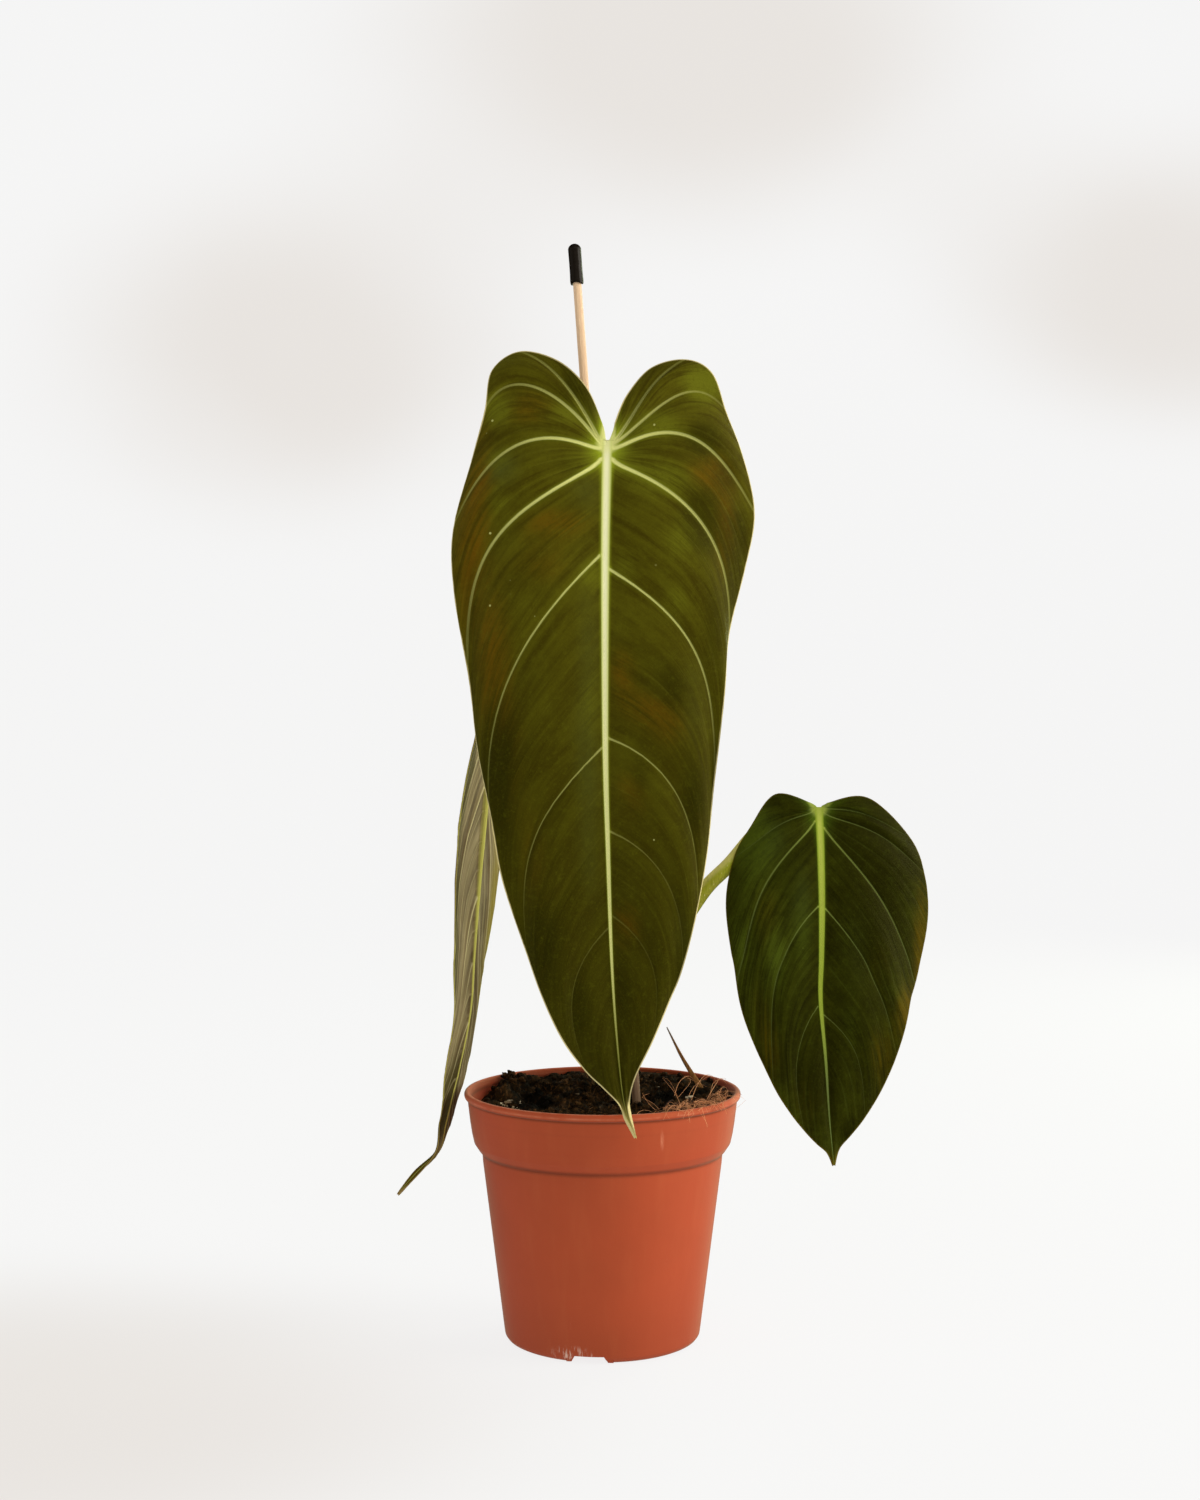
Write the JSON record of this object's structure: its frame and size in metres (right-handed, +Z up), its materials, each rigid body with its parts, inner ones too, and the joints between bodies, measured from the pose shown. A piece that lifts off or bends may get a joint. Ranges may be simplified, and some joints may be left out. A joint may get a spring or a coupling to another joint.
{
  "type": "potted philodendron melanochrysum",
  "caption": "Potted philodendron melanochrysum: long velvet heart-shaped leaves on tall petioles, a climbing stem, a bamboo stake, peat soil and a round plastic nursery pot.",
  "frame": {"origin": "centre of the flat base of the pot, on the surface that it stands on", "axes": "+Z up, +X to the right and +Y away from the viewer when the large leaf faces the viewer"},
  "size_m": [0.2309, 0.1576, 0.4744],
  "materials": {
    "terracotta_plastic": "semi-matte moulded terracotta plastic, faint scuffs",
    "peat_soil": "moist dark peat with brown fibres and pale chips",
    "bamboo": "dry split bamboo, fine grain",
    "black_dip": "glossy black dipped tip",
    "stem_bark": "green-brown living stem with leaf scars",
    "green_sheath": "smooth pale green sheath",
    "dry_sheath": "dry papery brown",
    "coir_fibre": "loose dry coir",
    "garden_tie": "soft matte plastic tie",
    "large_leaf": "velvety olive with bronze patches and pale cream veins",
    "left_leaf": "velvety dark green above, matte taupe below with raised pale veins",
    "right_leaf": "velvety dark green with a lime midrib",
    "petiole_skin": "smooth yellow-green, olive below, fine pale flecks"
  },
  "bodies": {
    "root": {"pot": "terracotta_plastic", "soil": "peat_soil", "stake": "bamboo", "stake_tip": "black_dip", "stem": "stem_bark", "stem_sheath": "green_sheath", "dried_sheath": "dry_sheath", "fibre_tuft": "coir_fibre", "tie": "garden_tie", "leaf_large": "large_leaf", "petiole_large": "petiole_skin", "leaf_left": "left_leaf", "petiole_left": "petiole_skin", "leaf_right": "right_leaf", "petiole_right": "petiole_skin"}
  },
  "joints": []
}
